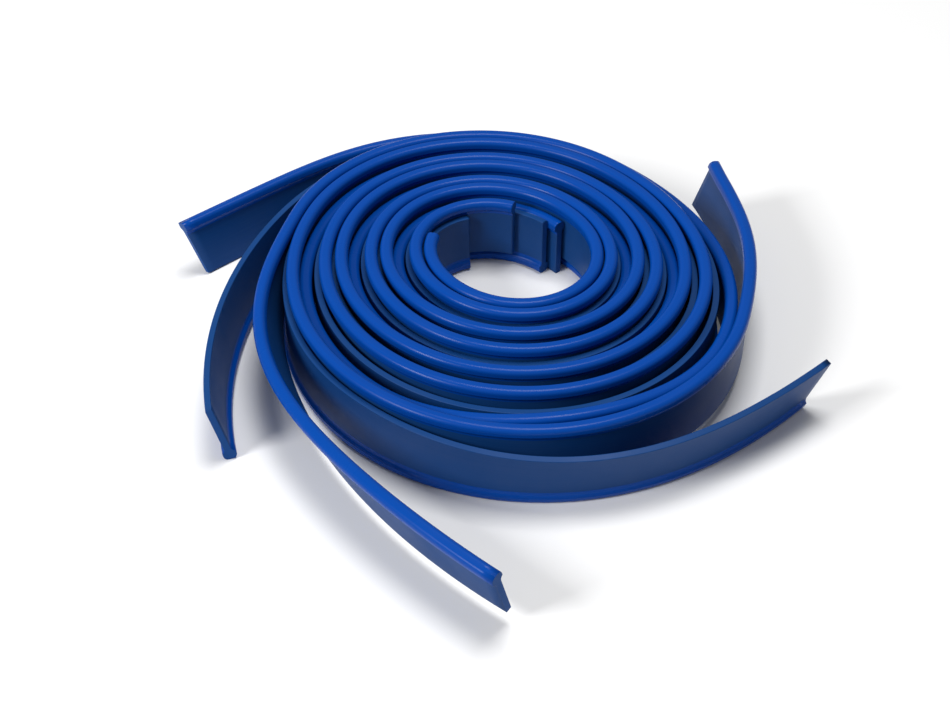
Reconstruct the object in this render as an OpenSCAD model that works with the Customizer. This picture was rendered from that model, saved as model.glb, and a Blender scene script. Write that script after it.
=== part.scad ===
// Refill rubbers for a squeegee applicator: five identical strips wound together into one loose coil.
// Each strip is a single extrusion with a rounded bead along one edge, a flat web and a square tip.
// Three strips are bead up and two are bead down. The beads of the first and third strip outwards
// ride over the tips of the bead-down ones beside them. The outermost strip is bead up too, but it
// has dropped down to the table, so that its bead is tucked in under the next turn's.
// Millimetres, +Z up. The origin is on the table, under the middle of the whole coil's outline.
// Angles run anticlockwise around the coil's open centre, seen from above, in degrees, and keep
// counting from turn to turn.

/* [Strip] */
// Height of a strip, from its tip to the crown of its bead
strip_h = 18; // [14:0.5:30]
// Thickness of the flat web
web_t = 1.75; // [1:0.05:2.4]
// Width of the rounded bead
bead_w = 3.6; // [2.8:0.1:5]
// Height of the bead together with the hollow fillet under it
bead_h = 4; // [3:0.1:5]
// Height of the hollow fillet that leads from the web into the bead
fillet_h = 1.5; // [0.8:0.1:1.6]
// Height over which the bead rounds off to its crown
round_h = 1.4; // [0.4:0.1:1.4]
// Width of the flat crown, which a bead-down strip stands on
crown_w = 0.8; // [0.6:0.1:2]

/* [Coil] */
// Clear gap between a bead and what it lies beside or over
gap = 0.1; // [0.1:0.05:1]
// Radius of the coil's first turn, at its left-hand side
core_r = 20.3; // [14:0.1:40]
// How much the coil is drawn out of round
ovality = 1.5; // [0:0.1:3]
// Direction in which the coil is longest
ovality_angle = 135; // [0:5:180]
// Extra room between neighbouring beads at the left-hand side, on top of the tightest packing
left_room = 0.35; // [0:0.05:1]
// Direction in which the turns hang loose
loose_angle = 285; // [270:1:300]
// Angle to either side of that direction over which the turns hang loose
loose_half_angle = 125; // [90:1:125]
// Loose gaps in front of each bead-up line of the coil, from the centre outwards
loose_gaps = [0.5, 0, 0, 3, 1, 0, 4, 4.5, 2, 1.5]; // [0:0.5:6]
// Angle at which one turn of the coil hands over to the next
turn_seam = 52; // [45:1:60]

/* [Rear right strip] */
// Angle of its inner end
rear_right_start = 162; // [153:9:171]
// Angle of its outer end
rear_right_end = 1477; // [1460:1:1480]
// Angle over which its free tail springs away from the coil
rear_right_tail = 62; // [40:1:70]
// Distance that the tail has sprung away at its end
rear_right_flare = 13.3; // [8:0.1:18]
// How suddenly it springs away: the power of its length with which that distance grows
rear_right_power = 2.1; // [2:0.1:5]
// Outward lean of the tail at its end, in degrees
rear_right_lean = 12; // [0:0.5:25]
// Further outward lean halfway along the tail, in degrees
rear_right_bow = 5; // [0:0.5:20]
// How much further the upper edge reaches than the lower one, where the end is cut off askew
rear_right_slant = -3.8; // [-5:0.1:5]

/* [Right strip] */
// Angle of its inner end
right_start = 117; // [108:9:126]
// Angle of its outer end
right_end = 1412.5; // [1400:1:1420]
// Angle over which its free tail springs away from the coil
right_tail = 98; // [80:1:100]
// Distance that the tail has sprung away at its end
right_flare = 16; // [10:0.1:20]
// How suddenly it springs away: the power of its length with which that distance grows
right_power = 4; // [2:0.1:5]
// Outward lean of the tail at its end, in degrees
right_lean = 18; // [0:0.5:25]
// Further outward lean halfway along the tail, in degrees
right_bow = 9; // [0:0.5:20]
// How much further the upper edge reaches than the lower one, where the end is cut off askew
right_slant = 2.7; // [-5:0.1:5]

/* [Front strip] */
// Angle of its inner end
front_start = 81; // [72:9:90]
// Angle of its outer end
front_end = 1350; // [1335:1:1360]
// Angle over which its free tail springs away from the coil
front_tail = 104; // [90:1:110]
// Distance that the tail has sprung away at its end
front_flare = 38.5; // [30:0.1:45]
// How suddenly it springs away: the power of its length with which that distance grows
front_power = 4; // [2:0.1:5]
// Outward lean of the tail at its end, in degrees
front_lean = 18.5; // [0:0.5:25]
// Further outward lean halfway along the tail, in degrees
front_bow = 20; // [0:0.5:24]
// How much further the upper edge reaches than the lower one, where the end is cut off askew
front_slant = 0.5; // [-5:0.1:5]

/* [Left strip] */
// Angle of its inner end
left_start = 54; // [45:9:63]
// Angle of its outer end
left_end = 1301; // [1290:1:1310]
// Angle over which its free tail springs away from the coil
left_tail = 130; // [110:1:135]
// Distance that the tail has sprung away at its end
left_flare = 23.6; // [16:0.1:26]
// How suddenly it springs away: the power of its length with which that distance grows
left_power = 3.5; // [2:0.1:5]
// Outward lean of the tail at its end, in degrees
left_lean = 14; // [0:0.5:25]
// Further outward lean halfway along the tail, in degrees
left_bow = 0; // [0:0.5:20]
// How much further the upper edge reaches than the lower one, where the end is cut off askew
left_slant = -0.3; // [-5:0.1:5]

/* [Rear left strip] */
// Angle of its inner end
rear_left_start = 45; // [36:9:54]
// Angle of its outer end
rear_left_end = 1249.4; // [1240:0.1:1260]
// Angle over which its free tail springs away from the coil
rear_left_tail = 78; // [70:1:85]
// Distance that the tail has sprung away at its end
rear_left_flare = 21.2; // [14:0.1:26]
// How suddenly it springs away: the power of its length with which that distance grows
rear_left_power = 4; // [2:0.1:5]
// Outward lean of the tail at its end, in degrees
rear_left_lean = 15; // [0:0.5:25]
// Further outward lean halfway along the tail, in degrees
rear_left_bow = 8; // [0:0.5:20]
// How much further the upper edge reaches than the lower one, where the end is cut off askew
rear_left_slant = 4.2; // [-5:0.1:5]
// Angle at which this strip, which else stands on the table, has ridden up level with the others
ride_angle = 1005; // [990:1:1020]
// Angle to either side of it over which the strip rises and drops again
ride_half_angle = 50; // [30:1:50]

/* [Hidden] */

// Angle between two sections of a strip, the same for all so that neighbours' flats lie parallel.
turn_step = 9;
// The tail's lean grows as this power of its length.
lean_power = 2;
// Raised strips stand this much higher, so that their tips clear the beads that are down.
raised = bead_h + gap;
// Lines in one turn: a raised strip takes the first and the second, and bead-down strips run
// half a line out from each. The low bead-up strip is halfway from there to the next turn.
lines_per_turn = 3;
low_place = 2.25;
// Tightest spacing of lines: room for two beads, for two webs in each, or for the low strip's bead
// between two webs.
tight_pitch = max(bead_w + gap, 2 * (web_t + gap), ((bead_w + web_t) / 2 + gap) / (lines_per_turn - low_place));
// The line through which the radius of the first turn is given.
first_angle = 180;
rubber_blue = [0.04, 0.20, 0.60];

// Sum of the loose gaps up to each bead-up line, starting with none inside the first one.
function loose_sum(i) = i == 0 ? 0 : loose_sum(i - 1) + loose_gaps[i - 1];
loose_table = [for (i = [0 : len(loose_gaps)]) [i, loose_sum(i)]];

// How loose the coil hangs at an angle: 1 in the loose direction, 0 outside the loose stretch.
function off_loose(a) = (a - loose_angle + 3780) % 360 - 180;
function looseness(a) =
    abs(off_loose(a)) < loose_half_angle ? pow(cos(90 * off_loose(a) / loose_half_angle), 2) : 0;

// Which line of the coil an angle belongs to, for a strip at that place in its turn.
function line_of(place, a) = lines_per_turn * floor((a - turn_seam) / 360) + place;

// Radius of the packed coil at an angle, for a strip at that place in its turn.
function coil_r(place, a) =
    core_r + ovality * cos(2 * (a - ovality_angle))
    + (tight_pitch + left_room * (1 - cos(a)) / 2) * (place + lines_per_turn * (a - first_angle) / 360)
    + looseness(a) * lookup(line_of(place, a), loose_table);

// How high a bead-up strip stands: always raised, or, if it is the low one, only where it rides up.
function ride(a) =
    abs(a - ride_angle) < ride_half_angle ? pow(cos(90 * (a - ride_angle) / ride_half_angle), 2) : 0;
function height(s, a) = !s[BEAD_UP] ? 0 : s[PLACE] == low_place ? raised * ride(a) : raised;

// How far along its free tail a place is: 0 where it leaves the coil, 1 at its end.
function along(a, end, tail) = max(0, 1 - (end - a) / tail);

// The line that a strip's foot follows on the table, and its outward direction square to that line.
function foot(s, a) =
    (coil_r(s[PLACE], a) + s[FLARE] * pow(along(a, s[END], s[TAIL]), s[POWER])) * [cos(a), sin(a)];
function outward(s, a) = let (d = foot(s, a + 0.5) - foot(s, a - 0.5)) [d[1], -d[0]] / norm(d);

// One side of the profile, from the tip up to the crown: the web, the hollow fillet, the bead.
side_profile = concat(
    [[web_t / 2, 0]],
    [for (a = [0, 45, 90])
        [bead_w / 2 - (bead_w - web_t) / 2 * cos(a), strip_h - bead_h + fillet_h * sin(a)]],
    [for (a = [0, 45, 90])
        [crown_w / 2 + (bead_w - crown_w) / 2 * cos(a), strip_h - round_h + round_h * sin(a)]]);
half = len(side_profile);
bead_up_profile = concat(side_profile, [for (i = [half - 1 : -1 : 0]) [-side_profile[i][0], side_profile[i][1]]]);
bead_down_profile = [for (p = bead_up_profile) [-p[0], strip_h - p[1]]];

// Places a profile point on a section that leans about the outer corner of its foot.
function leaned(p, lean, foot_w) = [
    p[0] * cos(lean) + p[1] * sin(lean),
    p[1] * cos(lean) - p[0] * sin(lean) + foot_w / 2 * sin(lean)];

// The angles at which a strip has a section: its two ends and the shared steps between them.
function section_angles(start, end) =
    let (first = ceil((start + turn_step / 4) / turn_step), last = floor((end - turn_step / 4) / turn_step))
    concat([start], [for (i = [first : last]) i * turn_step], [end]);

// The fields of a strip's description, in order.
PLACE = 0;
BEAD_UP = 1;
START = 2;
END = 3;
TAIL = 4;
FLARE = 5;
POWER = 6;
LEAN = 7;
BOW = 8;
SLANT = 9;

// Each strip's place in a turn, which way up it stands, its two ends and its free tail.
rear_right = [0, true, rear_right_start, rear_right_end, rear_right_tail, rear_right_flare,
    rear_right_power, rear_right_lean, rear_right_bow, rear_right_slant];
right = [0.5, false, right_start, right_end, right_tail, right_flare,
    right_power, right_lean, right_bow, right_slant];
front = [1, true, front_start, front_end, front_tail, front_flare,
    front_power, front_lean, front_bow, front_slant];
left = [1.5, false, left_start, left_end, left_tail, left_flare,
    left_power, left_lean, left_bow, left_slant];
rear_left = [low_place, true, rear_left_start, rear_left_end, rear_left_tail, rear_left_flare,
    rear_left_power, rear_left_lean, rear_left_bow, rear_left_slant];

// All the points of a strip's surface, section by section.
function strip_points(s) =
    let (profile = s[BEAD_UP] ? bead_up_profile : bead_down_profile)
    [for (a = section_angles(s[START], s[END]))
        let (
            t = along(a, s[END], s[TAIL]),
            lean = s[LEAN] * pow(t, lean_power) + s[BOW] * pow(sin(180 * t), 2),
            slant = a == s[END] ? s[SLANT] : 0,
            c = foot(s, a),
            o = outward(s, a))
        for (p = profile)
            let (q = leaned(p, lean, s[BEAD_UP] ? web_t : crown_w), f = slant * q[1] / strip_h)
            [c[0] + q[0] * o[0] - f * o[1], c[1] + q[0] * o[1] + f * o[0], height(s, a) + q[1]]];

// The middle of the whole coil's outline on the table, measured from the coil's open centre.
all_points = [for (s = [rear_right, right, front, left, rear_left], p = strip_points(s)) p];
function middle(axis) = let (v = [for (p = all_points) p[axis]]) (min(v) + max(v)) / 2;
outline_middle = [middle(0), middle(1)];

// One strip: its profile carried along the coil and out along its free tail.
module strip(s) {
    points = strip_points(s);
    n = len(bead_up_profile);
    sections = len(points) / n;
    walls = [for (i = [0 : sections - 2], j = [0 : n - 1])
        let (k = (j + 1) % n)
        each [[i * n + j, i * n + k, (i + 1) * n + k], [i * n + j, (i + 1) * n + k, (i + 1) * n + j]]];
    caps = [
        [for (j = [n - 1 : -1 : 0]) j],
        [for (j = [0 : n - 1]) (sections - 1) * n + j]];
    color(rubber_blue)
        translate([-outline_middle[0], -outline_middle[1], 0])
            polyhedron(points, concat(walls, caps), convexity = 12);
}

module strip_rear_right() {
    strip(rear_right);
}

module strip_right() {
    strip(right);
}

module strip_front() {
    strip(front);
}

module strip_left() {
    strip(left);
}

module strip_rear_left() {
    strip(rear_left);
}

strip_rear_right();
strip_right();
strip_front();
strip_left();
strip_rear_left();
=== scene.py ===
"""Refill rubbers for a squeegee applicator: five extruded strips wound into one loose coil.

Every strip is one profile, with a rounded bead along one edge and a square tip along the other,
carried along the coil and out along its free tail. Three strips are bead up and two bead down; the
outermost bead-up strip has dropped to the table, with its bead tucked in under the next turn's.
Lengths are metres and angles radians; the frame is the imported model's own.
"""

import math

import bpy
import numpy as np
from bpy.props import FloatProperty, FloatVectorProperty, PointerProperty
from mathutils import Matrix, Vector


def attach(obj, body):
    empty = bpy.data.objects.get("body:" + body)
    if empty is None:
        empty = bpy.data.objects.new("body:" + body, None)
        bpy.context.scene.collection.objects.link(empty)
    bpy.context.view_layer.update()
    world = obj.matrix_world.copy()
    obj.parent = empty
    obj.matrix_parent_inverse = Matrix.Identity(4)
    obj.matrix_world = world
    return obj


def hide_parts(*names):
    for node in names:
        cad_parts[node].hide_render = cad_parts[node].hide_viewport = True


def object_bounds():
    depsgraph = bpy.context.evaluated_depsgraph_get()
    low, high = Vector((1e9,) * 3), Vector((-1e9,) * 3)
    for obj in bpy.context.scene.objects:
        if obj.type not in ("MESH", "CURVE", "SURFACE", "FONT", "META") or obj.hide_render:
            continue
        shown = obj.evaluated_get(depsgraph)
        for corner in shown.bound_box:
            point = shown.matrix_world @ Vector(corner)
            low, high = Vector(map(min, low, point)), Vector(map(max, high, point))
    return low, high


bl_info = {
    "name": "Coil of Squeegee Rubbers",
    "version": (1, 0, 0),
    "blender": (4, 5, 0),
    "location": "View3D > Sidebar > Rubbers",
    "description": "Builds a loose coil of bead-edged squeegee refill rubbers with its studio",
    "category": "Add Mesh",
}

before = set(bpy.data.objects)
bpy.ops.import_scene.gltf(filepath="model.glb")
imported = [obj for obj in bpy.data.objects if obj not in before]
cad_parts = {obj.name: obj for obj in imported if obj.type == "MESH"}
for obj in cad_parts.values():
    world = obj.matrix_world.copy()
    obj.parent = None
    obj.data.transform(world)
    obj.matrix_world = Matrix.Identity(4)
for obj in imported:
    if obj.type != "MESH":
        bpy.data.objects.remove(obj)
cad_box = [list(corner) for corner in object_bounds()]

MM = 0.001
STRIPS = ("rear_right", "right", "front", "left", "rear_left")
BEAD_UP = ("rear_right", "front", "rear_left")
LINES_PER_TURN = 3
PLACES = {"rear_right": 0, "right": 0.5, "front": 1, "left": 1.5, "rear_left": 2.25}
LOW = "rear_left"
BEAD_SLOT, WEB_SLOT, CUT_SLOT = range(3)


def millimetres(*values):
    """The same lengths in metres."""
    return tuple(value * MM for value in values)


def degrees(*values):
    """The same angles in radians."""
    return tuple(math.radians(value) for value in values)


def length(name, description, default, **limits):
    """A length property, its default given in millimetres."""
    return FloatProperty(
        name=name, description=description, default=default * MM, min=0, unit="LENGTH", precision=5, **limits
    )


def angle(name, description, default):
    """An angle property, its default given in degrees."""
    return FloatProperty(name=name, description=description, default=math.radians(default), subtype="ANGLE")


def share(name, description, default, high=1.0):
    """A plain number from 0 to high."""
    return FloatProperty(name=name, description=description, default=default, min=0, max=high)


def colour(name, description, default):
    """A scene-linear colour property."""
    return FloatVectorProperty(
        name=name, description=description, default=default, size=3, min=0, max=1, subtype="COLOR"
    )


def position(name, description, *default):
    """A point's x, y, z property, given in millimetres."""
    return FloatVectorProperty(
        name=name,
        description=description,
        default=millimetres(*default),
        size=3,
        subtype="XYZ",
        unit="LENGTH",
    )


def per_strip_lengths(name, description, *defaults):
    """One length for each strip, in the order of STRIPS, given in millimetres."""
    return FloatVectorProperty(
        name=name, description=description, default=millimetres(*defaults), size=5, unit="LENGTH", precision=5
    )


def per_strip_angles(name, description, *defaults):
    """One angle for each strip, in the order of STRIPS, given in degrees."""
    return FloatVectorProperty(
        name=name, description=description, default=degrees(*defaults), size=5, unit="ROTATION", precision=4
    )


class RubberProfile(bpy.types.PropertyGroup):
    """The extruded profile that all the strips share."""

    strip_height: length("Strip height", "From the tip to the crown of the bead", 18)
    web_thickness: length("Web thickness", "Thickness of the flat web", 1.75)
    bead_width: length("Bead width", "Width of the rounded bead", 3.6)
    bead_height: length("Bead height", "Height of the bead with the hollow fillet under it", 4)
    fillet_height: length("Fillet height", "Height of the hollow fillet between web and bead", 1.5)
    round_height: length("Round height", "Height over which the bead rounds off to its crown", 1.4)
    crown_width: length("Crown width", "Width of the flat crown on top of the bead", 0.8)
    tip_radius: length("Tip corner radius", "Radius of the two corners of the square tip", 0.18)
    bead_radius: length("Bead edge radius", "Radius of the bead's lower edge, above the fillet", 0.25)


class CoilWinding(bpy.types.PropertyGroup):
    """How the five strips are wound on each other."""

    gap: length("Gap", "Clear gap between a bead and what it lies beside or over", 0.1)
    core_radius: length("Core radius", "Radius of the first turn at the left-hand side", 20.3)
    ovality: length("Ovality", "How much the coil is drawn out of round", 1.5)
    ovality_angle: angle("Ovality angle", "Direction in which the coil is longest", 135)
    left_room: length("Left room", "Extra room between neighbouring beads at the left-hand side", 0.35)
    loose_angle: angle("Loose angle", "Direction in which the turns hang loose", 285)
    loose_half_angle: angle("Loose half angle", "Angle to either side over which they hang loose", 125)
    loose_gaps: FloatVectorProperty(
        name="Loose gaps",
        description="Loose gap in front of each bead-up line, from the centre outwards",
        default=millimetres(0.5, 0, 0, 3, 1, 0, 4, 4.5, 2, 1.5),
        size=10,
        unit="LENGTH",
        precision=5,
    )
    turn_seam: angle("Turn seam", "Angle at which one turn hands over to the next", 52)
    ride_angle: angle("Ride angle", "Angle at which the low strip has ridden up level with the others", 1005)
    ride_half_angle: angle("Ride half angle", "Angle to either side over which it rises and drops", 50)
    section_step: angle("Section step", "Largest angle between two sections of a strip here", 1.5)
    frame_step: angle("Frame step", "Angle between two sections of the packed model's strips", 9)


class StripRuns(bpy.types.PropertyGroup):
    """Where each strip begins and ends and how its tail springs free, rear right to rear left."""

    start: per_strip_angles("Inner end", "Angle of each inner end", 162, 117, 81, 54, 45)
    end: per_strip_angles("Outer end", "Angle of each outer end", 1477, 1412.5, 1350, 1301, 1249.4)
    tail: per_strip_angles("Free tail", "Angle over which each tail springs away", 62, 98, 104, 130, 78)
    flare: per_strip_lengths("Flare", "Distance each tail has sprung at its end", 13.3, 16, 38.5, 23.6, 21.2)
    power: FloatVectorProperty(
        name="Suddenness",
        description="Power of the tail's length with which that distance grows",
        default=(2.1, 4, 4, 3.5, 4),
        size=5,
    )
    lean: per_strip_angles("Lean", "Outward lean of each tail at its end", 12, 18, 18.5, 14, 15)
    bow: per_strip_angles("Bow", "Further outward lean halfway along each tail", 5, 9, 20, 0, 8)
    slant: per_strip_lengths("Slant", "How far a cut's top outreaches its foot", -3.8, 2.7, 0.5, -0.3, 4.2)


class RubberFinish(bpy.types.PropertyGroup):
    """The colours and surfaces of the rubber, in its three finishes: the bead, the web and a cut end."""

    bead_colour: colour("Bead colour", "Clean moulded blue of the bead", (0.0, 0.054, 0.32))
    # Painted shade: the web and tip get a darker blue than the bead, standing for the shade they lie in under
    # the bead and deep in the coil; the strip is one rubber throughout.
    shaded_web_colour: colour("Web colour", "Blue of the web and the tip", (0.0, 0.042, 0.18))
    cut_colour: colour("Cut colour", "Paler blue where a strip is cut off", (0.0, 0.055, 0.24))
    # Painted sheen: a grey laid over the blue, far more on the web than on the bead, standing for the
    # rubber's reflection of the pale floor and room.
    bloom_colour: colour("Bloom colour", "Grey film that the rubber's waxes leave", (0.12, 0.17, 0.26))
    bead_sheen: share("Bead sheen", "How much of the film there is on the bead", 0.01)
    web_sheen: share("Web sheen", "How much of the film there is on the web", 0.07)
    reflectance: share("Reflectance", "Strength of the rubber's reflections, half being that of glass", 0.12)
    bead_roughness: share("Bead roughness", "Roughness of the bead", 0.28)
    web_roughness: share("Web roughness", "Roughness of the web", 0.42)
    cut_roughness: share("Cut roughness", "Roughness of a cut end", 0.6)
    bead_wander: share("Bead wander", "How far the bead's roughness wanders to either side", 0.04)
    web_wander: share("Web wander", "How far the web's roughness wanders to either side", 0.06)
    cut_wander: share("Cut wander", "How far a cut end's roughness wanders to either side", 0.08)
    bead_bump: share("Bead bump", "Strength of the bead's relief", 0.4)
    web_bump: share("Web bump", "Strength of the web's relief", 0.6)
    cut_bump: share("Cut bump", "Strength of a cut end's relief", 1)
    relief_depth: length("Relief depth", "Depth of the relief at full strength", 0.02)
    grain_size: length("Grain size", "Size of the rubber's fine grain", 0.35)
    line_spacing: length("Line spacing", "Width of the extruder's fine lines along a strip", 0.45)


class StudioSetup(bpy.types.PropertyGroup):
    """Floor, light and camera."""

    floor_colour: colour("Floor colour", "Pale floor and background", (0.9, 0.9, 0.9))
    floor_size: length("Floor size", "Side of the square floor", 6000)
    sky_strength: share("Sky strength", "Strength of the even light from all round", 0.27, 10)
    key_power: FloatProperty(name="Key power", description="Softbox overhead", default=6, unit="POWER")
    key_size: length("Key size", "Side of the softbox overhead", 400)
    key_place: position("Key place", "Where the softbox overhead hangs", 50, 150, 950)
    fill_power: FloatProperty(name="Fill power", description="Softbox front left", default=10, unit="POWER")
    fill_size: length("Fill size", "Side of the softbox at the front left", 350)
    fill_place: position("Fill place", "Where the softbox at the front left stands", -850, -500, 700)
    aim_offset: FloatVectorProperty(
        name="Aim offset",
        description="What the camera looks at, on the floor, from the coil's open centre",
        default=millimetres(-7.93, -21.13),
        size=2,
        unit="LENGTH",
        precision=5,
    )
    camera_distance: length("Camera distance", "From the camera to what it looks at", 487.6)
    camera_pitch: angle("Camera pitch", "How steeply the camera looks down", 41)
    focal_length: FloatProperty(
        name="Focal length", description="On a sensor 36 mm wide", default=66.96, min=1, unit="CAMERA"
    )


# ---------------------------------------------------------------------------
# The coil's shape
# ---------------------------------------------------------------------------


def looseness(coil, at):
    """1 in the direction where the turns hang loose, falling as a squared cosine to 0 at its edges."""
    off = (at - coil.loose_angle + math.pi) % (2 * math.pi) - math.pi
    inside = np.abs(off) < coil.loose_half_angle
    return np.where(inside, np.cos(math.pi / 2 * off / coil.loose_half_angle) ** 2, 0)


def packed_radius(profile, coil, place, at):
    """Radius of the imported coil: the core's radius, drawn out of round by a cosine of twice the angle,
    plus one pitch for each line of the coil that the angle has passed, plus the loose gaps so far. The
    pitch has room for two beads, for two webs each, or for the low strip's bead between two webs."""
    low_room = (profile.bead_width + profile.web_thickness) / 2 + coil.gap
    pitch = max(
        profile.bead_width + coil.gap,
        2 * (profile.web_thickness + coil.gap),
        low_room / (LINES_PER_TURN - PLACES[LOW]),
    )
    pitch = pitch + coil.left_room * (1 - np.cos(at)) / 2
    lines_out = place + LINES_PER_TURN * (at - math.pi) / (2 * math.pi)
    oval = coil.ovality * np.cos(2 * (at - coil.ovality_angle))
    line = LINES_PER_TURN * np.floor((at - coil.turn_seam) / (2 * math.pi)) + place
    gaps = np.concatenate([[0], np.cumsum(coil.loose_gaps)])
    slack = np.interp(line, np.arange(len(gaps)), gaps)
    return coil.core_radius + oval + pitch * lines_out + looseness(coil, at) * slack


def standing_height(profile, coil, run, at):
    """How high a strip's foot is: nothing bead down, the bead's height and the gap bead up, and for the
    low strip that height times a squared cosine over the stretch where it rides up."""
    if not run["bead_up"]:
        return np.zeros_like(at)
    raised = profile.bead_height + coil.gap
    if not run["low"]:
        return np.full_like(at, raised)
    off = np.clip((at - coil.ride_angle) / coil.ride_half_angle, -1, 1)
    return raised * np.cos(math.pi / 2 * off) ** 2


def along_tail(run, at):
    """0 where the free tail leaves the coil, growing evenly to 1 at its end."""
    return np.clip(1 - (run["end"] - at) / run["tail"], 0, 1)


def foot_line(profile, coil, run, at):
    """The line that a strip's foot follows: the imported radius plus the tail's flare times a power of
    the way along the tail, turned to x and y."""
    spring = run["flare"] * np.maximum(0, 1 - (run["end"] - at) / run["tail"]) ** run["power"]
    radius = packed_radius(profile, coil, run["place"], at) + spring
    return np.stack([radius * np.cos(at), radius * np.sin(at)], axis=-1)


def outward_normal(profile, coil, run, at):
    """Unit normals to the foot line: the step from half a degree before to half a degree after,
    turned a quarter turn clockwise."""
    half = math.radians(0.5)
    step = foot_line(profile, coil, run, at + half) - foot_line(profile, coil, run, at - half)
    step = step / np.linalg.norm(step, axis=-1, keepdims=True)
    return np.stack([step[:, 1], -step[:, 0]], axis=-1)


def arc(centre, radii, first, last, steps):
    """Points of an ellipse's arc: the centre plus the two radii times cosine and sine of an even angle."""
    turn = np.linspace(first, last, steps)
    return np.stack([centre[0] + radii[0] * np.cos(turn), centre[1] + radii[1] * np.sin(turn)], axis=-1)


def side_outline(profile):
    """One side of the profile, tip to crown: the tip's flat and small corner, the straight web, a
    quarter ellipse hollowed into the bead's underside, the bead's edge and side, and a quarter ellipse
    over its shoulder. Each straight has a point close to both its ends, which keeps its shading flat."""
    web, bead, crown = profile.web_thickness / 2, profile.bead_width / 2, profile.crown_width / 2
    top, tip, edge = profile.strip_height, profile.tip_radius, profile.bead_radius
    root = top - profile.bead_height
    shelf = root + profile.fillet_height
    shoulder = top - profile.round_height
    near = tip / 2
    quarter = math.pi / 2
    web_levels = np.linspace(tip + near, root - near, 5)
    parts = [
        [[web - tip - near, 0]],
        arc((web - tip, tip), (tip, tip), -quarter, 0, 5),
        np.stack([np.full_like(web_levels, web), web_levels], axis=-1),
        arc((bead, root), (web - bead, profile.fillet_height), 0, quarter * 0.86, 8),
        arc((bead - edge, shelf + edge), (edge, edge), -quarter, 0, 5),
        [[bead, shelf + edge + near], [bead, shoulder - near]],
        arc((crown, shoulder), (bead - crown, profile.round_height), 0, quarter, 9),
        [[crown - near, top]],
    ]
    return np.concatenate([np.asarray(part, float) for part in parts])


def closed_outline(profile, bead_up):
    """The whole outline: one side, then its mirror image from crown back to tip. A bead-down strip
    turns it half round, so that the crown is at the foot."""
    side = side_outline(profile)
    outline = np.concatenate([side, side[::-1] * (-1, 1)])
    if bead_up:
        return outline
    return np.array([0, profile.strip_height]) - outline


def place_sections(profile, coil, run, at, outline):
    """Carries the outline along the foot line. Each section leans outwards about the outer corner of
    its foot, by the tail's lean times the square of the way along plus its bow times a squared sine,
    and shears forward over the last step, where the end is cut off askew. Returns sections by points by
    x, y, z."""
    way = along_tail(run, at)
    lean = run["lean"] * way**2 + run["bow"] * np.sin(math.pi * way) ** 2
    askew = run["slant"] * np.clip(1 - (run["end"] - at) / coil.frame_step, 0, 1)
    foot_width = profile.web_thickness if run["bead_up"] else profile.crown_width
    foot = foot_line(profile, coil, run, at)
    normal = outward_normal(profile, coil, run, at)
    forward = np.stack([-normal[:, 1], normal[:, 0]], axis=-1)
    cos, sin = np.cos(lean)[:, None], np.sin(lean)[:, None]
    across = outline[:, 0] * cos + outline[:, 1] * sin
    level = outline[:, 1] * cos - outline[:, 0] * sin + foot_width / 2 * sin
    shear = askew[:, None] * level / profile.strip_height
    flat = foot[:, None, :] + across[..., None] * normal[:, None, :] + shear[..., None] * forward[:, None, :]
    high = standing_height(profile, coil, run, at)[:, None] + level
    return np.concatenate([flat, high[..., None]], axis=-1)


def frame_angles(coil, run):
    """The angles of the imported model's sections: the two ends and the whole steps between them."""
    step = coil.frame_step
    first = math.ceil((run["start"] + step / 4) / step)
    last = math.floor((run["end"] - step / 4) / step)
    return np.concatenate([[run["start"]], np.arange(first, last + 1) * step, [run["end"]]])


def strip_run(runs, name):
    """One strip's own values, taken out of the per-strip properties."""
    index = STRIPS.index(name)
    fields = ("start", "end", "tail", "flare", "power", "lean", "bow", "slant")
    run = {field: getattr(runs, field)[index] for field in fields}
    return {**run, "place": PLACES[name], "bead_up": name in BEAD_UP, "low": name == LOW}


def coil_centre(scene):
    """Where the coil's open centre lies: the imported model's box is centred on the origin, so this is
    the box's middle less the middle of the sections' own box."""
    low, high = np.array(cad_box[0][:2]), np.array(cad_box[1][:2])
    profile, coil, runs = scene.rubber_profile, scene.coil_winding, scene.strip_runs
    corners = []
    for name in STRIPS:
        run = strip_run(runs, name)
        outline = closed_outline(profile, run["bead_up"])
        points = place_sections(profile, coil, run, frame_angles(coil, run), outline)
        corners.append(points[..., :2].reshape(-1, 2))
    points = np.concatenate(corners)
    return (low + high) / 2 - (points.min(axis=0) + points.max(axis=0)) / 2


# ---------------------------------------------------------------------------
# Meshes
# ---------------------------------------------------------------------------


def wall_faces(sections, around):
    """Quads between neighbouring sections, going onward and then round the outline, to face outwards."""
    i, j = np.meshgrid(np.arange(sections - 1), np.arange(around), indexing="ij")
    k = (j + 1) % around
    quads = np.stack([i * around + j, (i + 1) * around + j, (i + 1) * around + k, i * around + k], axis=-1)
    return quads.reshape(-1, 4)


def cap_faces(first, around, facing_on):
    """Quads across one end, each joining two neighbouring points to their mirror images."""
    j = np.arange(around // 2 - 1)
    quads = first + np.stack([around - 1 - j, around - 2 - j, j + 1, j], axis=-1)
    return quads if facing_on else quads[:, ::-1]


def wall_map(points, outline):
    """A map in metres for the wall's quads: the distance along the strip's foot, and the distance round
    the outline."""
    steps = np.linalg.norm(np.diff(points[:, 0], axis=0), axis=1)
    along = np.concatenate([[0], np.cumsum(steps)])
    sides = np.linalg.norm(np.roll(outline, -1, axis=0) - outline, axis=1)
    around = np.concatenate([[0], np.cumsum(sides)])
    i, j = np.meshgrid(np.arange(len(along) - 1), np.arange(len(outline)), indexing="ij")
    u = np.stack([along[i], along[i + 1], along[i + 1], along[i]], axis=-1)
    v = np.stack([around[j], around[j], around[j + 1], around[j + 1]], axis=-1)
    return np.stack([u, v], axis=-1).reshape(-1, 2)


def cap_map(outline, quads, first):
    """A flat map in metres for an end's quads: the outline's own two coordinates."""
    return outline[(quads - first).ravel()]


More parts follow.
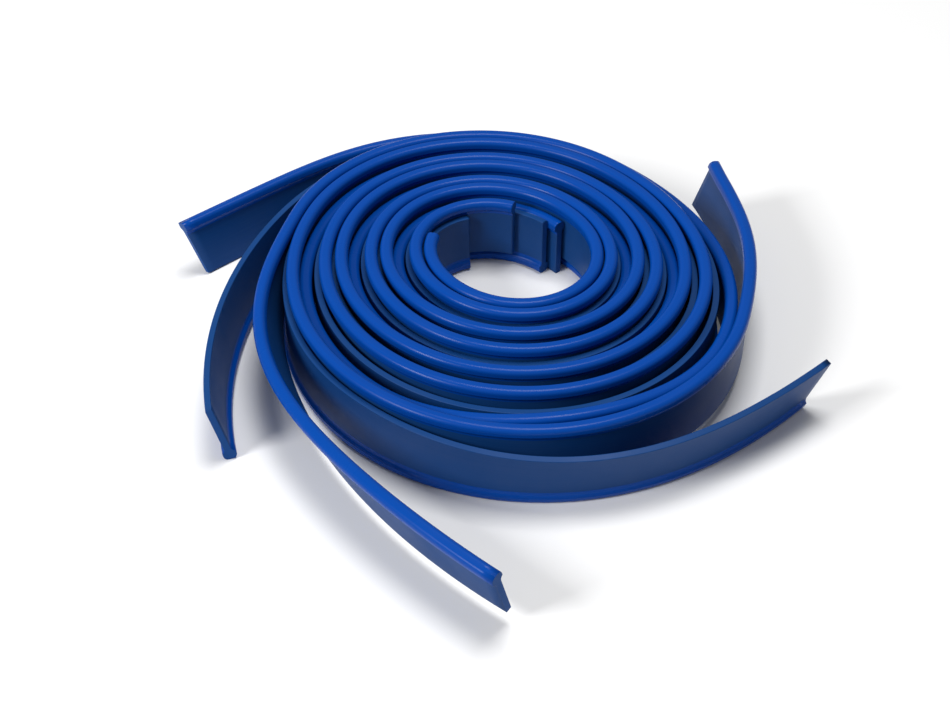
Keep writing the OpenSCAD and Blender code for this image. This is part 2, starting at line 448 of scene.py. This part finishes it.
def make_mesh(name, points, faces, uv, material_index, flat_faces):
    """Puts whole arrays of points, quads and map coordinates into a new mesh."""
    mesh = bpy.data.meshes.new(name)
    mesh.vertices.add(len(points))
    mesh.vertices.foreach_set("co", points.astype(np.float32).ravel())
    mesh.loops.add(faces.size)
    mesh.loops.foreach_set("vertex_index", faces.astype(np.int32).ravel())
    mesh.polygons.add(len(faces))
    mesh.polygons.foreach_set("loop_start", np.arange(0, faces.size, 4, dtype=np.int32))
    mesh.polygons.foreach_set("material_index", material_index.astype(np.int32))
    mesh.update(calc_edges=True)
    mesh.polygons.foreach_set("use_smooth", ~flat_faces)
    mesh.uv_layers.new(name="along_and_around").data.foreach_set("uv", uv.astype(np.float32).ravel())
    if mesh.validate():
        raise RuntimeError(f"{name}: the mesh had faults")
    return mesh


def build_strip(scene, name):
    """Makes one strip: its outline carried along its run, closed by the two cut ends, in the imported
    model's frame. The wall below the bead takes the web's finish and the rest the bead's."""
    profile, coil = scene.rubber_profile, scene.coil_winding
    run = strip_run(scene.strip_runs, name)
    outline = closed_outline(profile, run["bead_up"])
    count = math.ceil((run["end"] - run["start"]) / coil.section_step) + 1
    at = np.linspace(run["start"], run["end"], count)
    points = place_sections(profile, coil, run, at, outline)
    points[..., :2] += coil_centre(scene)
    around = len(outline)
    last = (count - 1) * around
    walls = wall_faces(count, around)
    inner_end = cap_faces(0, around, facing_on=False)
    outer_end = cap_faces(last, around, facing_on=True)
    end_maps = [cap_map(outline, inner_end, 0), cap_map(outline, outer_end, last)]
    uv = np.concatenate([wall_map(points, outline), *end_maps])

    # Painted shade: the faces below the bead take the web's darker blue, which stands for the shade under the
    # bead.
    height = outline[:, 1] if run["bead_up"] else profile.strip_height - outline[:, 1]
    below_bead = height < profile.strip_height - profile.bead_height + profile.tip_radius / 100
    is_web = below_bead & np.roll(below_bead, -1)
    caps = len(inner_end) + len(outer_end)
    wall_slots = np.where(is_web, WEB_SLOT, BEAD_SLOT)
    material_index = np.concatenate([np.tile(wall_slots, count - 1), np.full(caps, CUT_SLOT)])
    flat = np.concatenate([np.zeros(len(walls), bool), np.ones(caps, bool)])
    faces = np.concatenate([walls, inner_end, outer_end])
    mesh = make_mesh(name, points.reshape(-1, 3), faces, uv, material_index, flat)
    for material in rubber_materials(scene.rubber_finish):
        mesh.materials.append(material)

    piece = bpy.data.objects.new(f"rubber_{name}", mesh)
    scene.collection.objects.link(piece)
    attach(piece, name)
    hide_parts(f"strip_{name}")
    return piece


# ---------------------------------------------------------------------------
# Shader node groups and materials
# ---------------------------------------------------------------------------


def new_group(name, inputs, outputs):
    """An empty shader group with the given sockets. Each input is (name, socket type, default)."""
    group = bpy.data.node_groups.new(name, "ShaderNodeTree")
    for label, kind, default in inputs:
        socket = group.interface.new_socket(label, in_out="INPUT", socket_type=kind)
        socket.default_value = default
    for label, kind in outputs:
        group.interface.new_socket(label, in_out="OUTPUT", socket_type=kind)
    return group, group.nodes.new("NodeGroupInput"), group.nodes.new("NodeGroupOutput")


def add_node(tree, kind, place, **settings):
    """A new node at a place in the tree, with the settings given by name."""
    node = tree.nodes.new(kind)
    node.location = place
    for key, value in settings.items():
        setattr(node, key, value)
    return node


def rubber_grain_group():
    """Fine grain of the rubber: two sizes of noise on object coordinates. Gives a height for a bump and
    a roughness that wanders about the one put in."""
    found = bpy.data.node_groups.get("Rubber grain")
    if found:
        return found
    group, given, result = new_group(
        "Rubber grain",
        [
            ("Grain per Metre", "NodeSocketFloat", 3000.0),
            ("Roughness", "NodeSocketFloat", 0.4),
            ("Wander", "NodeSocketFloat", 0.1),
        ],
        [("Height", "NodeSocketFloat"), ("Roughness", "NodeSocketFloat")],
    )
    given.location, result.location = (-600, 0), (500, 0)
    link = group.links.new
    place = add_node(group, "ShaderNodeTexCoord", (-600, 300))
    fine = add_node(group, "ShaderNodeTexNoise", (-300, 250))
    fine.inputs["Detail"].default_value = 3
    broad = add_node(group, "ShaderNodeTexNoise", (-300, -50))
    broad.inputs["Scale"].default_value = 55
    broad.inputs["Detail"].default_value = 2
    wander = add_node(group, "ShaderNodeMapRange", (0, -50))
    low = add_node(group, "ShaderNodeMath", (-300, -330), operation="SUBTRACT")
    high = add_node(group, "ShaderNodeMath", (-300, -500), operation="ADD")
    link(place.outputs["Object"], fine.inputs["Vector"])
    link(place.outputs["Object"], broad.inputs["Vector"])
    link(given.outputs["Grain per Metre"], fine.inputs["Scale"])
    for limit in (low, high):
        link(given.outputs["Roughness"], limit.inputs[0])
        link(given.outputs["Wander"], limit.inputs[1])
    wander.inputs["From Min"].default_value = 0.3
    wander.inputs["From Max"].default_value = 0.7
    link(broad.outputs["Fac"], wander.inputs["Value"])
    link(low.outputs[0], wander.inputs["To Min"])
    link(high.outputs[0], wander.inputs["To Max"])
    link(fine.outputs["Fac"], result.inputs["Height"])
    link(wander.outputs["Result"], result.inputs["Roughness"])
    return group


def extrusion_lines_group():
    """Lines that the extruder's die leaves along a strip: noise that is stretched along the piece's own
    map, so it changes quickly round the profile and slowly along it. Gives a height and a mask."""
    found = bpy.data.node_groups.get("Extrusion lines")
    if found:
        return found
    group, given, result = new_group(
        "Extrusion lines",
        [("Lines per Metre", "NodeSocketFloat", 2000.0), ("Change per Metre", "NodeSocketFloat", 12.0)],
        [("Height", "NodeSocketFloat"), ("Mask", "NodeSocketFloat")],
    )
    given.location, result.location = (-700, 0), (500, 0)
    link = group.links.new
    place = add_node(group, "ShaderNodeUVMap", (-700, 250), uv_map="along_and_around")
    stretch = add_node(group, "ShaderNodeCombineXYZ", (-450, 0))
    scaled = add_node(group, "ShaderNodeVectorMath", (-200, 100), operation="MULTIPLY")
    lines = add_node(group, "ShaderNodeTexNoise", (0, 100))
    lines.inputs["Scale"].default_value = 1
    lines.inputs["Detail"].default_value = 2
    mask = add_node(group, "ShaderNodeMapRange", (250, -50), interpolation_type="SMOOTHSTEP")
    mask.inputs["From Min"].default_value = 0.4
    mask.inputs["From Max"].default_value = 0.75
    link(given.outputs["Change per Metre"], stretch.inputs["X"])
    link(given.outputs["Lines per Metre"], stretch.inputs["Y"])
    link(place.outputs["UV"], scaled.inputs[0])
    link(stretch.outputs["Vector"], scaled.inputs[1])
    link(scaled.outputs["Vector"], lines.inputs["Vector"])
    link(lines.outputs["Fac"], mask.inputs["Value"])
    link(lines.outputs["Fac"], result.inputs["Height"])
    link(mask.outputs["Result"], result.inputs["Mask"])
    return group


def sheen_group():
    """Painted sheen: a grey laid over the colour that stands for the pale floor's and room's reflection in
    the rubber, in patches of noise on object coordinates, broken up by a mask such as the extrusion lines,
    laid over the bare colour."""
    found = bpy.data.node_groups.get("Wax bloom")
    if found:
        return found
    group, given, result = new_group(
        "Wax bloom",
        [
            ("Clean Colour", "NodeSocketColor", (0.0, 0.05, 0.3, 1.0)),
            ("Bloom Colour", "NodeSocketColor", (0.1, 0.15, 0.25, 1.0)),
            ("Amount", "NodeSocketFloat", 0.1),
            ("Patches per Metre", "NodeSocketFloat", 60.0),
            ("Lines", "NodeSocketFloat", 0.5),
        ],
        [("Colour", "NodeSocketColor"), ("Mask", "NodeSocketFloat")],
    )
    given.location, result.location = (-700, 0), (600, 0)
    link = group.links.new
    place = add_node(group, "ShaderNodeTexCoord", (-700, 300))
    patches = add_node(group, "ShaderNodeTexNoise", (-450, 250))
    patches.inputs["Detail"].default_value = 4
    spread = add_node(group, "ShaderNodeMapRange", (-200, 250))
    spread.inputs["From Min"].default_value = 0.3
    spread.inputs["From Max"].default_value = 0.7
    spread.inputs["To Min"].default_value = 0.6
    spread.inputs["To Max"].default_value = 1.2
    streaks = add_node(group, "ShaderNodeMapRange", (-200, -50))
    streaks.inputs["To Min"].default_value = 0.8
    streaks.inputs["To Max"].default_value = 1.15
    both = add_node(group, "ShaderNodeMath", (50, 150), operation="MULTIPLY")
    sheen = add_node(group, "ShaderNodeMath", (230, 50), operation="MULTIPLY", use_clamp=True)
    mix = add_node(group, "ShaderNodeMix", (400, 150), data_type="RGBA")
    link(place.outputs["Object"], patches.inputs["Vector"])
    link(given.outputs["Patches per Metre"], patches.inputs["Scale"])
    link(patches.outputs["Fac"], spread.inputs["Value"])
    link(given.outputs["Lines"], streaks.inputs["Value"])
    link(spread.outputs["Result"], both.inputs[0])
    link(streaks.outputs["Result"], both.inputs[1])
    link(both.outputs[0], sheen.inputs[0])
    link(given.outputs["Amount"], sheen.inputs[1])
    link(sheen.outputs[0], mix.inputs["Factor"])
    link(given.outputs["Clean Colour"], mix.inputs["A"])
    link(given.outputs["Bloom Colour"], mix.inputs["B"])
    link(mix.outputs["Result"], result.inputs["Colour"])
    link(sheen.outputs[0], result.inputs["Mask"])
    return group


def opaque(rgb):
    """A colour with full alpha, as a colour socket wants it."""
    return (*rgb, 1.0)


def rubber_material(name, finish, clean, sheen_amount, roughness, wander, bump):
    """One finish of the rubber: its bare colour under a grey painted sheen, with grain and extrusion lines in
    its roughness and its bump."""
    found = bpy.data.materials.get(name)
    if found:
        return found
    material = bpy.data.materials.new(name)
    material.use_nodes = True
    material.diffuse_color = opaque(clean)
    tree = material.node_tree
    link = tree.links.new
    shader = tree.nodes["Principled BSDF"]
    shader.inputs["Specular IOR Level"].default_value = finish.reflectance
    grain = add_node(tree, "ShaderNodeGroup", (-700, -150), node_tree=rubber_grain_group())
    grain.inputs["Grain per Metre"].default_value = 1 / finish.grain_size
    grain.inputs["Roughness"].default_value = roughness
    grain.inputs["Wander"].default_value = wander
    lines = add_node(tree, "ShaderNodeGroup", (-900, 150), node_tree=extrusion_lines_group())
    lines.inputs["Lines per Metre"].default_value = 1 / finish.line_spacing
    # Painted sheen: grey laid over the colour for the rubber's reflection of the pale floor and room.
    sheen = add_node(tree, "ShaderNodeGroup", (-600, 250), node_tree=sheen_group())
    sheen.inputs["Clean Colour"].default_value = opaque(clean)
    sheen.inputs["Bloom Colour"].default_value = opaque(finish.bloom_colour)
    sheen.inputs["Amount"].default_value = sheen_amount
    relief = add_node(tree, "ShaderNodeMath", (-450, -300), operation="ADD")
    raised = add_node(tree, "ShaderNodeBump", (-250, -300))
    raised.inputs["Strength"].default_value = bump
    raised.inputs["Distance"].default_value = finish.relief_depth
    link(lines.outputs["Mask"], sheen.inputs["Lines"])
    link(sheen.outputs["Colour"], shader.inputs["Base Color"])
    link(grain.outputs["Roughness"], shader.inputs["Roughness"])
    link(grain.outputs["Height"], relief.inputs[0])
    link(lines.outputs["Height"], relief.inputs[1])
    link(relief.outputs[0], raised.inputs["Height"])
    link(raised.outputs["Normal"], shader.inputs["Normal"])
    return material


def rubber_materials(finish):
    """The three finishes of a strip, in the order of the mesh's material slots."""
    bead = rubber_material(
        "Rubber bead",
        finish,
        clean=finish.bead_colour,
        sheen_amount=finish.bead_sheen,
        roughness=finish.bead_roughness,
        wander=finish.bead_wander,
        bump=finish.bead_bump,
    )
    # The web's darker colour is painted shade, and its larger share of grey is painted sheen.
    web = rubber_material(
        "Rubber web",
        finish,
        clean=finish.shaded_web_colour,
        sheen_amount=finish.web_sheen,
        roughness=finish.web_roughness,
        wander=finish.web_wander,
        bump=finish.web_bump,
    )
    cut = rubber_material(
        "Cut rubber",
        finish,
        clean=finish.cut_colour,
        sheen_amount=finish.web_sheen,
        roughness=finish.cut_roughness,
        wander=finish.cut_wander,
        bump=finish.cut_bump,
    )
    return bead, web, cut


# ---------------------------------------------------------------------------
# Operators
# ---------------------------------------------------------------------------


class RUBBERS_OT_bead_up(bpy.types.Operator):
    """Build the three strips that stand bead up"""

    bl_idname = "rubbers.bead_up"
    bl_label = "Bead-up strips"

    def execute(self, context):
        for name in STRIPS:
            if name in BEAD_UP:
                build_strip(context.scene, name)
        return {"FINISHED"}


class RUBBERS_OT_bead_down(bpy.types.Operator):
    """Build the two strips that stand bead down"""

    bl_idname = "rubbers.bead_down"
    bl_label = "Bead-down strips"

    def execute(self, context):
        for name in STRIPS:
            if name not in BEAD_UP:
                build_strip(context.scene, name)
        return {"FINISHED"}


class RUBBERS_OT_studio(bpy.types.Operator):
    """Set up the pale floor, the soft lights and the camera"""

    bl_idname = "rubbers.studio"
    bl_label = "Studio"

    def execute(self, context):
        scene = context.scene
        studio = scene.studio_setup
        add_floor(scene, studio)
        add_lights(scene, studio)
        add_camera(scene, studio)
        scene.view_settings.view_transform = "Standard"
        return {"FINISHED"}


def add_floor(scene, studio):
    """A plain square floor on the table level."""
    side = studio.floor_size / 2
    corners = np.array([[-side, -side, 0], [side, -side, 0], [side, side, 0], [-side, side, 0]])
    mesh = bpy.data.meshes.new("floor")
    mesh.from_pydata(corners.tolist(), [], [(0, 1, 2, 3)])
    material = bpy.data.materials.new("Pale floor")
    material.use_nodes = True
    shader = material.node_tree.nodes["Principled BSDF"]
    shader.inputs["Base Color"].default_value = opaque(studio.floor_colour)
    shader.inputs["Roughness"].default_value = 0.7
    mesh.materials.append(material)
    floor = bpy.data.objects.new("floor", mesh)
    scene.collection.objects.link(floor)


def aim(thing, place, target):
    """Puts a light or camera at a place and turns its -Z axis towards the target, +Y upwards."""
    thing.location = place
    thing.rotation_euler = (Vector(target) - Vector(place)).to_track_quat("-Z", "Y").to_euler()


def add_softbox(scene, name, place, size, power):
    """A square area light that faces the origin."""
    data = bpy.data.lights.new(name, "AREA")
    data.shape = "SQUARE"
    data.size = size
    data.energy = power
    light = bpy.data.objects.new(name, data)
    scene.collection.objects.link(light)
    aim(light, place, (0, 0, 0))


def add_lights(scene, studio):
    """An even pale sky, a softbox overhead and one at the front left."""
    world = bpy.data.worlds.new("pale room")
    world.use_nodes = True
    background = world.node_tree.nodes["Background"]
    background.inputs["Color"].default_value = opaque((1, 1, 1))
    background.inputs["Strength"].default_value = studio.sky_strength
    scene.world = world
    add_softbox(scene, "softbox overhead", studio.key_place, studio.key_size, studio.key_power)
    add_softbox(scene, "softbox front left", studio.fill_place, studio.fill_size, studio.fill_power)


def add_camera(scene, studio):
    """A camera that looks down at the coil from the front, along +Y."""
    centre = coil_centre(scene)
    target = Vector((centre[0] + studio.aim_offset[0], centre[1] + studio.aim_offset[1], 0))
    pitch = studio.camera_pitch
    back = Vector((0, -math.cos(pitch), math.sin(pitch))) * studio.camera_distance
    data = bpy.data.cameras.new("camera")
    data.sensor_width = 36
    data.lens = studio.focal_length
    data.clip_start = 0.01
    camera = bpy.data.objects.new("camera", data)
    scene.collection.objects.link(camera)
    aim(camera, target + back, target)
    scene.camera = camera


class RUBBERS_PT_panel(bpy.types.Panel):
    """Sizes and finishes of the coil, and the steps that build it"""

    bl_idname = "RUBBERS_PT_panel"
    bl_label = "Coil of rubbers"
    bl_space_type = "VIEW_3D"
    bl_region_type = "UI"
    bl_category = "Rubbers"

    def draw(self, context):
        scene = context.scene
        for group in PROPERTY_GROUPS:
            box = self.layout.box()
            values = getattr(scene, group)
            for field in values.__annotations__:
                box.prop(values, field)
        for operator in BUILD_ORDER:
            self.layout.operator(operator)


PROPERTY_GROUPS = {
    "rubber_profile": RubberProfile,
    "coil_winding": CoilWinding,
    "strip_runs": StripRuns,
    "rubber_finish": RubberFinish,
    "studio_setup": StudioSetup,
}
BUILD_ORDER = ("rubbers.bead_up", "rubbers.bead_down", "rubbers.studio")
CLASSES = (
    *PROPERTY_GROUPS.values(),
    RUBBERS_OT_bead_up,
    RUBBERS_OT_bead_down,
    RUBBERS_OT_studio,
    RUBBERS_PT_panel,
)


def register():
    for cls in CLASSES:
        bpy.utils.register_class(cls)
    for name, group in PROPERTY_GROUPS.items():
        setattr(bpy.types.Scene, name, PointerProperty(type=group))


def unregister():
    for name in reversed(PROPERTY_GROUPS):
        delattr(bpy.types.Scene, name)
    for cls in reversed(CLASSES):
        bpy.utils.unregister_class(cls)


def main():
    """Builds everything."""
    register()
    bpy.ops.rubbers.bead_up()
    bpy.ops.rubbers.bead_down()
    bpy.ops.rubbers.studio()


if __name__ == "__main__":
    main()
